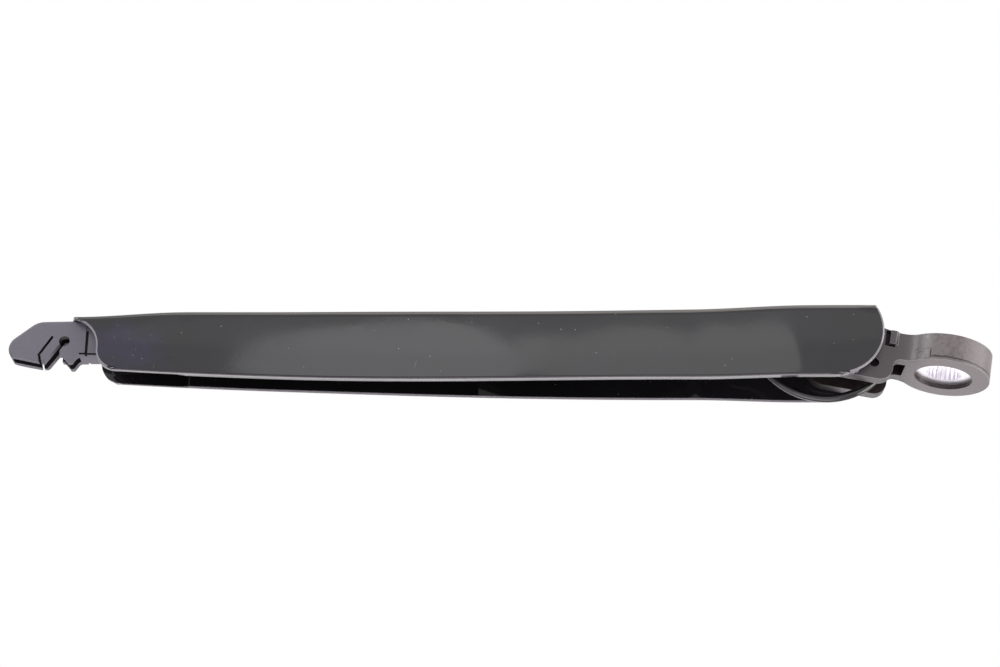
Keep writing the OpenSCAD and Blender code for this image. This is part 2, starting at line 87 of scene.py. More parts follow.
def add_node(
    tree: Tree, kind: str, settings: dict | None = None, links: dict | None = None
) -> bpy.types.Node:
    """Adds a node with its settings and links.

    Args:
        tree: The node tree.
        kind: The node's type, such as ShaderNodeTexNoise.
        settings: Attribute names, or input names or numbers, with their values.
        links: Input names or numbers, with the output socket that feeds each.

    Returns:
        The new node.
    """
    node = tree.nodes.new(kind)
    for key, value in (settings or {}).items():
        if isinstance(key, str) and hasattr(node, key):
            setattr(node, key, value)
        else:
            node.inputs[key].default_value = value
    for key, socket in (links or {}).items():
        tree.links.new(socket, node.inputs[key])
    return node


def computed(tree: Tree, operation: str, *terms: Socket | float) -> Socket:
    """Adds a maths node.

    Args:
        tree: The node tree.
        operation: What it does, such as MULTIPLY.
        terms: An output socket or a number for each of its inputs in turn.

    Returns:
        The result.
    """
    sockets = {number: term for number, term in enumerate(terms) if isinstance(term, Socket)}
    numbers = {number: term for number, term in enumerate(terms) if not isinstance(term, Socket)}
    return add_node(tree, "ShaderNodeMath", {"operation": operation, **numbers}, sockets).outputs[0]


def joined(tree: Tree, operation: str, values: list[Socket]) -> Socket:
    """Joins several values by one operation, from the first to the last.

    Args:
        tree: The node tree.
        operation: What joins them, such as MAXIMUM.
        values: The values, at least one.

    Returns:
        The result.
    """
    result = values[0]
    for value in values[1:]:
        result = computed(tree, operation, result, value)
    return result


def ramp(
    tree: Tree,
    value: Socket,
    span: tuple[float, float],
    result: tuple[float, float] = (0.0, 1.0),
    eased: bool = False,
) -> Socket:
    """Maps a span of values to another one, and holds both ends.

    Args:
        tree: The node tree.
        value: The value.
        span: Where the change begins and where it ends.
        result: What comes out at those two.
        eased: True for a change that starts and ends gently.

    Returns:
        The mapped value.
    """
    settings = {"From Min": span[0], "From Max": span[1], "To Min": result[0], "To Max": result[1]}
    if eased:
        settings["interpolation_type"] = "SMOOTHSTEP"
    return add_node(tree, "ShaderNodeMapRange", settings, {"Value": value}).outputs["Result"]


def covered(tree: Tree, colour: Socket, over: str, cover: Socket) -> Socket:
    """Lays a colour over another one.

    Args:
        tree: The node tree.
        colour: The colour so far.
        over: The colour on top as sRGB hex.
        cover: How much of it covers, from 0 to 1.

    Returns:
        The colour with the layer.
    """
    settings = {"data_type": "RGBA", 7: linear_rgba(over)}
    return add_node(tree, "ShaderNodeMix", settings, {0: cover, 6: colour}).outputs[2]


def clouds(tree: Tree, place: Socket, size_mm: float, detail: float, roughness: float = 0.5) -> Socket:
    """Adds a cloudy noise.

    Args:
        tree: The node tree.
        place: Object coordinates.
        size_mm: The size of its clouds.
        detail: How many finer layers it has.
        roughness: How strong those are.

    Returns:
        The noise, from 0 to 1.
    """
    settings = {"Scale": 1 / (size_mm * MM), "Detail": detail, "Roughness": roughness}
    return add_node(tree, "ShaderNodeTexNoise", settings, {"Vector": place}).outputs["Fac"]


def scatter(tree: Tree, place: Socket, cell_mm: float) -> Socket:
    """Scatters points, one to a cell.

    Args:
        tree: The node tree.
        place: Object coordinates.
        cell_mm: The size of a cell.

    Returns:
        The distance to the nearest point, in cells.
    """
    settings = {"feature": "F1", "Scale": 1 / (cell_mm * MM), "Randomness": 1.0}
    return add_node(tree, "ShaderNodeTexVoronoi", settings, {"Vector": place}).outputs["Distance"]


def attribute(tree: Tree, name: str) -> Socket:
    """Reads one of the piece's attributes.

    Args:
        tree: The node tree.
        name: The attribute's name.

    Returns:
        Its value.
    """
    return add_node(tree, "ShaderNodeAttribute", {"attribute_name": name}).outputs["Fac"]


class Sheen(Enum):
    """How sharply a moulding mirrors its surroundings, as shader roughness."""

    POLISHED = 0.08
    MATT = 0.56


@dataclass(frozen=True)
class Finish:
    """What every finish has: a name, colours and the shader's numbers."""

    name: str
    colour: str
    mottle: str
    roughness: float
    roughness_spread: float
    metallic: float = 0.0
    ior: float = 1.5
    cloud_mm: float = 9.0
    cloud_detail: float = 3.0
    cloud_roughness: float = 0.55
    grain_mm: float = 0.3
    grain_detail: float = 2.0
    grain_depth_mm: float = 0.01
    # Painted shade: a darker colour and a weaker mirror on faces that the piece itself encloses.
    painted_shade: str = "#141112"
    painted_shade_share: float = 0.0
    painted_shade_reach_mm: float = 14.0
    shaded_mirror: float = 0.2
    # Painted highlight: a lighter colour on the faces that the rim layer marks.
    rim_highlight: str = "#98949b"
    rim_highlight_share: float = 0.0

    def material(self) -> bpy.types.Material:
        """Builds the finish's material.

        Returns:
            A node material that reads Object coordinates.
        """
        if self.name in bpy.data.materials:
            return bpy.data.materials[self.name]
        material = bpy.data.materials.new(self.name)
        material.use_nodes = True
        tree = material.node_tree
        tree.nodes.clear()
        place = add_node(tree, "ShaderNodeTexCoord").outputs["Object"]
        cloud = clouds(tree, place, self.cloud_mm, self.cloud_detail, self.cloud_roughness)
        ends = {6: linear_rgba(self.colour), 7: linear_rgba(self.mottle)}
        colour = add_node(tree, "ShaderNodeMix", {"data_type": "RGBA", **ends}, {0: cloud}).outputs[2]
        spread = (self.roughness - self.roughness_spread, self.roughness + self.roughness_spread)
        rough = ramp(tree, cloud, CLOUD_SPAN, spread)
        grain = clouds(tree, place, self.grain_mm, self.grain_detail)
        colour, rough, height = self.detail(tree, place, (colour, rough, grain))
        # Painted highlight on the rims and faces that the rim layer marks.
        colour = self.laid_over(tree, colour, "rim", (0.0, 1.0), self.rim_highlight, self.rim_highlight_share)
        # Painted shade where the piece encloses its own faces.
        colour = self.laid_over(tree, colour, "enclosed", PAINTED_SHADE_SPAN, self.painted_shade, self.painted_shade_share)
        bump = add_node(
            tree,
            "ShaderNodeBump",
            {"Strength": 1.0, "Distance": self.grain_depth_mm * MM},
            {"Height": height},
        )
        shader = add_node(
            tree,
            "ShaderNodeBsdfPrincipled",
            {"Metallic": self.metallic},
            {"Base Color": colour, "Roughness": rough, "Normal": bump.outputs["Normal"]},
        )
        if not self.metallic:
            shader.inputs["IOR"].default_value = self.ior
        # Painted shade on the reflection: a weaker mirror where the piece encloses its own faces.
        if self.painted_shade_share > 0:
            mirror = ramp(tree, attribute(tree, "enclosed"), PAINTED_SHADE_SPAN, (UNSHADED_MIRROR, self.shaded_mirror))
            tree.links.new(mirror, shader.inputs["Specular IOR Level"])
        add_node(tree, "ShaderNodeOutputMaterial", {}, {"Surface": shader.outputs["BSDF"]})
        return material

    def laid_over(
        self, tree: Tree, colour: Socket, layer: str, span: tuple[float, float], over: str, share: float
    ) -> Socket:
        """Lays a colour over the faces that an attribute of the piece picks out.

        Args:
            tree: The node tree.
            colour: The surface's colour so far.
            layer: The attribute's name.
            span: Its values where the colour begins and where it is full.
            over: The colour as sRGB hex.
            share: How much of it covers at most, or 0 to leave it out.

        Returns:
            The colour with the layer.
        """
        if share <= 0:
            return colour
        cover = ramp(tree, attribute(tree, layer), span, (0.0, share))
        return covered(tree, colour, over, cover)

    def detail(self, tree: Tree, place: Socket, surface: Surface) -> Surface:
        """Lets a finish lay its own marks over the plain surface; this one has none.

        Args:
            tree: The node tree.
            place: Object coordinates.
            surface: Colour, roughness and bump height so far.

        Returns:
            Colour, roughness and height with the marks.
        """
        return surface


@dataclass(frozen=True)
class PurpleCloud:
    """A cloudy purple patch with crumbs of dirt, on part of a moulding.

    Its fade runs from where the patch begins to where it is full. It is counted from the middle, in
    lengths of size_mm, with the wisps added.
    """

    colour: str = "#2c2740"
    share: float = 0.75
    at_mm: Millimetres = (-245.5, -8.0, -42.0)
    size_mm: Millimetres = (15.0, 5.0, 8.5)
    wisp_mm: float = 4.5
    wisp_detail: float = 4.0
    wisp_roughness: float = 0.65
    wisp_pull: float = 1.6
    fade: tuple[float, float] = (1.9, 1.1)
    crumb_cell_mm: float = 1.7
    crumb_edge: tuple[float, float] = (0.11, 0.03)
    crumb_cover: float = 0.5

    def laid(self, tree: Tree, place: Socket, colour: Socket, dust: Socket) -> tuple[Socket, Socket]:
        """Lays the patch over a surface.

        Args:
            tree: The node tree.
            place: Object coordinates.
            colour: The surface's colour so far.
            dust: How much dust covers it so far.

        Returns:
            Colour and dust with the patch.
        """
        centre = tuple(v * MM for v in self.at_mm)
        inverse = tuple(1 / (v * MM) for v in self.size_mm)
        kind = "ShaderNodeVectorMath"
        offset = add_node(tree, kind, {"operation": "SUBTRACT", 1: centre}, {0: place}).outputs[0]
        scaled = add_node(tree, kind, {"operation": "MULTIPLY", 1: inverse}, {0: offset}).outputs[0]
        away = add_node(tree, kind, {"operation": "LENGTH"}, {0: scaled}).outputs["Value"]
        wisps = clouds(tree, place, self.wisp_mm, self.wisp_detail, self.wisp_roughness)
        torn = computed(tree, "MULTIPLY_ADD", wisps, self.wisp_pull, away)
        patch = ramp(tree, torn, self.fade)
        clouded = covered(tree, colour, self.colour, computed(tree, "MULTIPLY", patch, self.share))
        crumbs = ramp(
            tree, scatter(tree, place, self.crumb_cell_mm), self.crumb_edge, (0.0, self.crumb_cover)
        )
        return clouded, joined(tree, "MAXIMUM", [dust, computed(tree, "MULTIPLY", crumbs, patch)])


@dataclass(frozen=True)
class HandledMoulding(Finish):
    """A moulded surface that has been handled: specks of dust, short hairlines and perhaps a purple patch.

    A speck is full within dust_core of its radius. A hairline's edge runs from where it begins to
    where it is full, counted in cells from its middle.
    """

    dust: str = "#b9b6b4"
    dust_cell_mm: float = 5.5
    dust_size_mm: float = 0.2
    dust_core: float = 0.4
    dust_cover: float = 0.7
    dust_roughness: float = 0.5
    hairline_cell_mm: float = 11 / 3
    hairline_turn_deg: float = -62.0
    hairline_stretch: tuple[float, float, float] = (1.0, 0.5, 0.085)
    hairline_edge: tuple[float, float] = (0.045, 0.015)
    hairline_cover: float = 0.22
    purple_cloud: PurpleCloud | None = None

    def detail(self, tree: Tree, place: Socket, surface: Surface) -> Surface:
        """Lays dust, hairlines and the purple patch over the moulding.

        Args:
            tree: The node tree.
            place: Object coordinates.
            surface: Colour, roughness and bump height so far.

        Returns:
            Colour, roughness and height with the marks.
        """
        colour, rough, height = surface
        radius = self.dust_size_mm / self.dust_cell_mm
        specks = scatter(tree, place, self.dust_cell_mm)
        dust = ramp(tree, specks, (radius, radius * self.dust_core), (0.0, self.dust_cover))
        turn = (0.0, math.radians(self.hairline_turn_deg), 0.0)
        turned = add_node(
            tree,
            "ShaderNodeMapping",
            {"Rotation": turn, "Scale": self.hairline_stretch},
            {"Vector": place},
        ).outputs["Vector"]
        lines = scatter(tree, turned, self.hairline_cell_mm)
        hairlines = ramp(tree, lines, self.hairline_edge, (0.0, self.hairline_cover))
        if self.purple_cloud:
            colour, dust = self.purple_cloud.laid(tree, place, colour, dust)
        marks = joined(tree, "MAXIMUM", [dust, hairlines])
        dulled = computed(tree, "MULTIPLY_ADD", marks, self.dust_roughness, rough)
        return covered(tree, colour, self.dust, marks), dulled, height


@dataclass(frozen=True)
class CastWithHollows(Finish):
    """A coated casting with painted shade in its recess, pocket, seam and mould step corners, and painted
    shade over its neck and hinge end.

    The neck's painted shade and the painted shade inside the channel are full at the first of their two
    places along x and gone at the second. A corner of the mould step has its middle and half-width along
    x, and then along z.
    """

    # Painted shade in the recess, the pocket, along the seam and at the mould step's corners.
    hollow_shade: str = "#2b2122"
    recess_r_mm: float = 8.72
    recess_top_mm: float = 0.05
    pocket_half_mm: float = 4.18
    pocket_end_mm: float = -12.1
    # Painted shade: the neck darker toward the hinge.
    neck_shade: str = "#4a4648"
    neck_shade_mm: tuple[float, float] = (-15.0, -4.0)
    # Painted shade on the hinge end that sits inside the channel.
    channel_shade: str = "#1f1b1c"
    channel_shade_mm: tuple[float, float] = (-34.0, -28.0)
    channel_shade_share: float = 0.9
    # Painted shade in a ragged line along the seam, above the ring's lower edge.
    seam_from_mm: float = -6.5
    seam_low_mm: float = -0.78
    seam_high_mm: float = -0.22
    seam_ragged_mm: float = 0.9
    seam_cell_mm: float = 0.9
    seam_detail: float = 2.0
    wall_r_mm: float = 13.5
    # Painted shadow lines along the mould step's corners.
    corners_mm: tuple[tuple[float, float, float, float], ...] = (
        (-8.3, 2.0, 1.88, 0.16),
        (-6.32, 0.17, 0.45, 1.5),
    )

    def detail(self, tree: Tree, place: Socket, surface: Surface) -> Surface:
        """Paints shade over the neck and the hinge end, and in the hollows, along the seam and at the
        corners.

        Args:
            tree: The node tree.
            place: Object coordinates.
            surface: Colour, roughness and bump height so far.

        Returns:
            Colour, roughness and height with the marks.
        """
        colour, rough, height = surface
        x, y, z = add_node(tree, "ShaderNodeSeparateXYZ", {}, {0: place}).outputs
        flat = add_node(tree, "ShaderNodeCombineXYZ", {}, {0: x, 1: y}).outputs[0]
        radius = add_node(
            tree, "ShaderNodeVectorMath", {"operation": "LENGTH"}, {0: flat}
        ).outputs["Value"]
        # Painted shade: a darker neck, and a darker hinge end inside the channel.
        neck_shading = ramp(tree, x, tuple(v * MM for v in self.neck_shade_mm), (1.0, 0.0), eased=True)
        colour = covered(tree, colour, self.neck_shade, neck_shading)
        spread = ramp(tree, x, tuple(v * MM for v in self.channel_shade_mm), (self.channel_shade_share, 0.0), eased=True)
        colour = covered(tree, colour, self.channel_shade, spread)
        # Painted shade in the recess, the pocket, a ragged line along the seam and the mould step's
        # corners.
        recess = [
            computed(tree, "LESS_THAN", radius, self.recess_r_mm * MM),
            computed(tree, "LESS_THAN", z, self.recess_top_mm * MM),
        ]
        pocket = [
            computed(tree, "LESS_THAN", computed(tree, "ABSOLUTE", y), self.pocket_half_mm * MM),
            computed(tree, "LESS_THAN", x, self.pocket_end_mm * MM),
        ]
        ragged = clouds(tree, place, self.seam_cell_mm, self.seam_detail)
        lifted = computed(tree, "MULTIPLY_ADD", ragged, -self.seam_ragged_mm * MM, z)
        low, high = (
            (level - self.seam_ragged_mm / 2) * MM for level in (self.seam_low_mm, self.seam_high_mm)
        )
        at_wall = computed(tree, "GREATER_THAN", radius, self.wall_r_mm * MM)
        seam = [
            computed(tree, "GREATER_THAN", lifted, low),
            computed(tree, "LESS_THAN", lifted, high),
            computed(tree, "GREATER_THAN", x, self.seam_from_mm * MM),
            at_wall,
        ]
        corners = [
            [
                at_wall,
                computed(tree, "COMPARE", x, along * MM, half_length * MM),
                computed(tree, "COMPARE", z, up * MM, half_height * MM),
            ]
            for along, half_length, up, half_height in self.corners_mm
        ]
        painted_shade_spots = [joined(tree, "MULTIPLY", tests) for tests in (recess, pocket, seam, *corners)]
        colour = covered(tree, colour, self.hollow_shade, joined(tree, "MAXIMUM", painted_shade_spots))
        return colour, rough, height


# Gloss ABS, injection moulded in a polished tool: deep black with a mirror-like skin that picks up
# dust and fine hairlines.
GLOSS_ABS = HandledMoulding(
    name="gloss_black_abs",
    colour="#1d1c1d",
    mottle="#232126",
    roughness=Sheen.POLISHED.value,
    roughness_spread=0.03,
    ior=1.52,
    cloud_mm=22.0,
    grain_mm=1.6,
    grain_depth_mm=0.004,
    # Painted shade inside the channel and on other enclosed faces.
    painted_shade="#0b0a0b",
    painted_shade_share=0.9,
    painted_shade_reach_mm=24.0,
    # Painted highlight on the walls' outer rims and bottom faces.
    rim_highlight_share=0.75,
    dust_cell_mm=4.4,
    purple_cloud=PurpleCloud(),
)

# Acetal, moulded in a spark-eroded tool: an even purple-grey with a dry, fine-grained skin.
MATT_ACETAL = HandledMoulding(
    name="matt_grey_acetal",
    colour="#5c5963",
    mottle="#66636d",
    roughness=Sheen.MATT.value,
    roughness_spread=0.05,
    ior=1.48,
    cloud_mm=4.0,
    grain_mm=0.18,
    grain_depth_mm=0.012,
    # Painted shade in the clip's slots and grooves.
    painted_shade_share=0.95,
    dust="#8d8990",
    dust_cell_mm=3.5,
    dust_size_mm=0.16,
)

# Zinc die casting under an electrocoat: dark warm grey, satin, with a slight orange peel.
COATED_CASTING = CastWithHollows(
    name="coated_zinc_casting",
    colour="#3f3a3b",
    mottle="#847c7d",
    roughness=0.4,
    roughness_spread=0.1,
    cloud_mm=1.1,
    grain_mm=0.8,
    grain_depth_mm=0.09,
    # Painted shade on the casting's enclosed faces.
    painted_shade_share=0.9,
    # Painted highlight on the casting's broken edges.
    rim_highlight="#b0abb1",
    rim_highlight_share=0.9,
)

# Broached steel: bare bright metal with a fine turned grain.
BROACHED_STEEL = Finish(
    name="broached_steel",
    colour="#fbf8fd",
    mottle="#efecf3",
    roughness=0.4,
    roughness_spread=0.05,
    metallic=1.0,
    cloud_mm=1.5,
    grain_mm=0.4,
    grain_depth_mm=0.0015,
)

# Blackened steel: the spring pin's dark, dry ends.
BLACKENED_STEEL = Finish(
    name="blackened_steel",
    colour="#242325",
    mottle="#1b1a1c",
    roughness=0.45,
    roughness_spread=0.08,
    metallic=1.0,
    cloud_mm=1.5,
    grain_mm=0.2,
    grain_depth_mm=0.004,
)

# Ground steel pins: grey metal with a soft mirror.
GROUND_STEEL = Finish(
    name="ground_steel",
    colour="#a3a3a6",
    mottle="#8f8f93",
    roughness=0.28,
    roughness_spread=0.05,
    metallic=1.0,
    cloud_mm=2.0,
    grain_mm=0.2,
    grain_depth_mm=0.003,
)

# Sintered bronze bushes: dull brown metal, slightly porous.
SINTERED_BRONZE = Finish(
    name="sintered_bronze",
    colour="#8a7350",
    mottle="#6f5c40",
    roughness=0.48,
    roughness_spread=0.08,
    metallic=1.0,
    cloud_mm=1.2,
    grain_mm=0.15,
    grain_depth_mm=0.01,
)

# Powder-coated spring wire, drawn and bent: smooth round black with a bright line along its top.
COATED_WIRE = Finish(
    name="coated_drawn_wire",
    colour="#1b191b",
    mottle="#242124",
    roughness=0.09,
    roughness_spread=0.02,
    ior=1.65,
    cloud_mm=3.0,
    grain_mm=0.5,
    grain_depth_mm=0.008,
)

# Oil-tempered spring steel, cold wound: blue-grey, oily and half bright.
OILED_SPRING_STEEL = Finish(
    name="oiled_spring_steel",
    colour="#4a4a4e",
    mottle="#37373b",
    roughness=0.33,
    roughness_spread=0.07,
    metallic=1.0,
    cloud_mm=2.0,
    grain_mm=0.3,
    grain_depth_mm=0.006,
)


def measure_enclosure(form: bmesh.types.BMesh, layer: bmesh.types.BMLayerItem, reach_mm: float) -> None:
    """Writes how much of what the surface faces is the piece itself, so that shade can be painted there.

    Args:
        form: The piece's mesh.
        layer: The layer of the faces' corners to write.
        reach_mm: How far away a face still counts.
    """
    fan = []
    for k in range(ENCLOSURE_RAYS):
        lift = math.sqrt(1 - (k + 0.5) / ENCLOSURE_RAYS)
        turn = k * math.pi * (3 - math.sqrt(5))
        spread = math.sqrt(1 - lift * lift)
        fan.append(Vector((spread * math.cos(turn), spread * math.sin(turn), lift)))
    form.normal_update()
    tree = BVHTree.FromBMesh(form)
    share = {}
    for face in form.faces:
        facing = face.normal.to_track_quat("Z", "Y")
        start = face.calc_center_median() + face.normal * RAY_START_MM * MM
        hits = sum(tree.ray_cast(start, facing @ ray, reach_mm * MM)[0] is not None for ray in fan)
        share[face] = hits / ENCLOSURE_RAYS
    same_side = math.cos(math.radians(SAME_SIDE_DEG))
    for face in form.faces:
        for corner in face.loops:
            around = [
                share[other]
                for other in corner.vert.link_faces
                if other.normal.dot(face.normal) > same_side
            ]
            corner[layer] = sum(around) / len(around) if around else share[face]


@dataclass
class Assembly:
    """A sub-assembly that dresses CAD nodes and adds its own pieces."""

    made: list[str] = field(default_factory=list)

    def dress(self, node: str, finish: Finish) -> None:
        """Gives a CAD node, whose shape stays, its finish.

        Args:
            node: The node's name.
            finish: What it is made of.
        """
        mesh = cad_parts[node].data
        mesh.materials.clear()
        mesh.materials.append(finish.material())
        self.made.append(node)

    def refined(
        self,
        node: str,
        finish: Finish,
        body: str,
        slot: str,
        crease_deg: float,
        round_mm: float = 0.0,
        flat_deg: float = 0.05,
    ) -> None:
        """Makes a merged, smooth-shaded piece from a CAD node, to stand for it.

        Args:
            node: The node's name.
            finish: What it is made of.
            body: The body that it rides on.
            slot: The record's material slot; not used.
            crease_deg: The angle from which an edge stays sharp, or is broken if round_mm is given.
            round_mm: Radius of the broken edges, or 0 for none.
            flat_deg: The angle below which neighbouring faces join.
        """
        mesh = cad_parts[node].data.copy()
        mesh.name = f"{node}_skin"
        form = bmesh.new()
        form.from_mesh(mesh)
        bmesh.ops.remove_doubles(form, verts=form.verts, dist=MERGE_MM * MM)
        bmesh.ops.dissolve_degenerate(form, edges=form.edges, dist=MERGE_MM * MM)
        bmesh.ops.dissolve_limit(
            form,
            angle_limit=math.radians(flat_deg),
            verts=form.verts,
            edges=form.edges,
            use_dissolve_boundaries=False,
        )
        rim = form.faces.layers.float.new("rim")
        enclosed = form.loops.layers.float.new("enclosed")
        self.break_rims(node, form, rim)
        measure_enclosure(form, enclosed, finish.painted_shade_reach_mm)
        for face in form.faces:
            face.smooth = True
        form.to_mesh(mesh)
        form.free()
        mesh.set_sharp_from_angle(angle=math.radians(crease_deg))
        mesh.materials.clear()
        mesh.materials.append(finish.material())
        piece = bpy.data.objects.new(f"{node}_skin", mesh)
        bpy.context.scene.collection.objects.link(piece)
        if round_mm > 0:
            bevel = piece.modifiers.new("broken_edges", "BEVEL")
            bevel.width = round_mm * MM
            bevel.segments = 2
            bevel.limit_method = "ANGLE"
            bevel.angle_limit = math.radians(crease_deg)
            bevel.use_clamp_overlap = True
        even = piece.modifiers.new("even_normals", "WEIGHTED_NORMAL")
        even.mode = "FACE_AREA"
        even.keep_sharp = True
        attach(piece, body)
        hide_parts(node)
        self.made.append(piece.name)

    def break_rims(self, node: str, form: bmesh.types.BMesh, rim: bmesh.types.BMLayerItem) -> None:
        """Lets an assembly round rims that a piece's plain broken edges leave out; this one has none.

        Args:
            node: The CAD node that the piece stands for.
            form: The piece's merged mesh.
            rim: The face layer that marks rims for a painted highlight.
        """

    def report(self) -> None:
        """Logs each piece that was made or dressed."""
        for name in self.made:
            log.info("%s: %s", type(self).__name__, name)


@dataclass
class ChannelArm(Assembly):
    """The moulded arm with the blade clip and the pins that it carries.

    The walls' outer rims get a painted highlight outside hinge_end_mm and blade_end_mm, and this fades
    inside them. The walls' bottom edges, which look down below low_mm, get a slightly weaker one.
    """

    clip_edge_mm: float = 0.18
    rim_mm: float = 0.62
    rim_deg: float = 55.0
    facing_out: float = 0.8
    hinge_end_mm: float = -50.0
    blade_end_mm: float = -243.0
    fade_mm: float = 15.0
    pin_room_mm: float = 4.0
    hinge_mm: Millimetres = (-28.4, 0.0, 1.25)
    droop_deg: float = 11.0
    low_mm: float = -4.0
    facing_down: float = -0.9
    # Share of painted highlight on the walls' bottom faces.
    bottom_highlight: float = 0.65

    def build(self) -> None:
        """Makes the arm's pieces."""
        self.refined("arm_body", GLOSS_ABS, "arm", "black_moulding", crease_deg=38, flat_deg=0.001)
        self.refined(
            "blade_clip", MATT_ACETAL, "arm", "clip_moulding", crease_deg=32, round_mm=self.clip_edge_mm
        )
        self.dress("hinge_pin", GROUND_STEEL)
        self.dress("anchor_pin", GROUND_STEEL)

    def break_rims(self, node: str, form: bmesh.types.BMesh, rim: bmesh.types.BMLayerItem) -> None:
        """Rounds the walls' outer rims, and marks them and the bottom edges for a painted highlight.

        Args:
            node: The CAD node that the piece stands for.
            form: The piece's merged mesh.
            rim: The face layer that marks rims for a painted highlight.
        """
        if node != "arm_body":
            return
        hinge = Vector(self.hinge_mm) * MM
        # Painted highlight: the walls' bottom faces are marked for a lighter colour.
        for face in form.faces:
            sunk = self.above_arm(face.calc_center_median() - hinge) / MM < self.low_mm
            if sunk and self.above_arm(face.normal) < self.facing_down:
                face[rim] = self.bottom_highlight
        bent = bmesh.ops.bevel(
            form,
            geom=[edge for edge in form.edges if self.is_outer_rim(edge)],
            offset=self.rim_mm * MM,
            offset_type="OFFSET",
            segments=3,
            profile=0.5,
            affect="EDGES",
            clamp_overlap=False,
            material=-1,
        )
        # Painted highlight on the rounded rims, fading inside the arm's ends.
        for face in bent["faces"]:
            x = face.calc_center_median().x / MM
            inward = min(self.hinge_end_mm - x, x - self.blade_end_mm) / self.fade_mm
            face[rim] = 1.0 - min(max(inward, 0.0), 1.0)

    def is_outer_rim(self, edge: bmesh.types.BMEdge) -> bool:
        """Tells whether an edge bounds the outer face of a side wall.

        Args:
            edge: An edge of the channel.

        Returns:
            True for a sharp outer edge away from the hinge pin's hole.
        """
        if not edge.is_manifold or edge.calc_face_angle() < math.radians(self.rim_deg):
            return False
        middle = (edge.verts[0].co + edge.verts[1].co) / 2 / MM
        outward = max(face.normal.y * math.copysign(1.0, middle.y) for face in edge.link_faces)
        hinge = self.hinge_mm
        at_pin = math.hypot(middle.x - hinge[0], middle.z - hinge[2]) < self.pin_room_mm
        return outward > self.facing_out and not at_pin

    def above_arm(self, vector: Vector) -> float:
        """Finds how far a vector goes square to the arm, toward its roof.

        Args:
            vector: The vector in the part's frame.

        Returns:
            Its component square to the arm.
        """
        turn = math.radians(self.droop_deg)
        return vector.z * math.cos(turn) - vector.x * math.sin(turn)


@dataclass
class MountingHead(Assembly):
    """The cast head with its splined bush, hinge bushes and spring pin.

    Edges sharper than edge_deg are broken, and those outside the recess and the pocket get a
    painted highlight.
    """

    edge_mm: float = 0.3
    edge_deg: float = 40.0
    recess_r_mm: float = 9.2
    pocket_half_mm: float = 4.6
    pocket_end_mm: float = -11.0

    def build(self) -> None:
        """Makes the head's pieces."""
        self.refined("mounting_head", COATED_CASTING, "head", "cast_head", crease_deg=30)
        self.refined("spline_bush", BROACHED_STEEL, "head", "bare_steel", crease_deg=30)
        self.dress("hinge_bush_near", SINTERED_BRONZE)
        self.dress("hinge_bush_far", SINTERED_BRONZE)
        self.dress("spring_pin", BLACKENED_STEEL)

    def break_rims(self, node: str, form: bmesh.types.BMesh, rim: bmesh.types.BMLayerItem) -> None:
        """Rounds the casting's edges, and marks the outer ones for a painted highlight.

        Args:
            node: The CAD node that the piece stands for.
            form: The piece's merged mesh.
            rim: The face layer that marks rims for a painted highlight.
        """
        if node != "mounting_head":
            return
        limit = math.radians(self.edge_deg)
        sharp = [edge for edge in form.edges if edge.is_manifold and edge.calc_face_angle() > limit]
        bent = bmesh.ops.bevel(
            form,
            geom=sharp,
            offset=self.edge_mm * MM,
            offset_type="OFFSET",
            segments=2,
            profile=0.5,
            affect="EDGES",
            clamp_overlap=True,
            material=-1,
        )
        # Painted highlight on the broken edges outside the recess and the pocket.
        for face in bent["faces"]:
            spot = face.calc_center_median() / MM
            recess = math.hypot(spot.x, spot.y) < self.recess_r_mm
            pocket = abs(spot.y) < self.pocket_half_mm and spot.x < self.pocket_end_mm
            if not recess and not pocket:
                face[rim] = 1.0


@dataclass
class PullGear(Assembly):
    """The hook and the tension spring that pull the arm to the glass."""

    def build(self) -> None:
        """Makes the hook and the spring."""
        self.refined("spring_hook", COATED_WIRE, "hook", "coated_wire", crease_deg=40)
        self.refined("tension_spring", OILED_SPRING_STEEL, "spring", "spring_wire", crease_deg=75)


@dataclass(frozen=True)
class SoftLamp:
    """A soft lamp: where it stands, the point that it faces, its size, power, colour, roll and outline."""

    name: str
    place_mm: Millimetres
    aim_mm: Millimetres
    size_mm: tuple[float, float]
    watts: float
    colour: str = "#ffffff"
    roll_deg: float = 0.0
    shape: str = "ELLIPSE"

    def hang(self) -> None:
        """Adds the lamp to the scene."""
        data = bpy.data.lights.new(self.name, "AREA")
        data.shape = self.shape
        data.size = self.size_mm[0] * MM
        data.size_y = self.size_mm[1] * MM
        data.energy = self.watts
        data.color = linear_rgba(self.colour)[:3]
        lamp = bpy.data.objects.new(self.name, data)
        place = Vector(self.place_mm) * MM
        away = Vector(self.aim_mm) * MM - place
        facing = away.to_track_quat("-Z", "Y").to_matrix().to_4x4()
        roll = Matrix.Rotation(math.radians(self.roll_deg), 4, "Z")
        lamp.matrix_world = Matrix.Translation(place) @ facing @ roll
        bpy.context.scene.collection.objects.link(lamp)


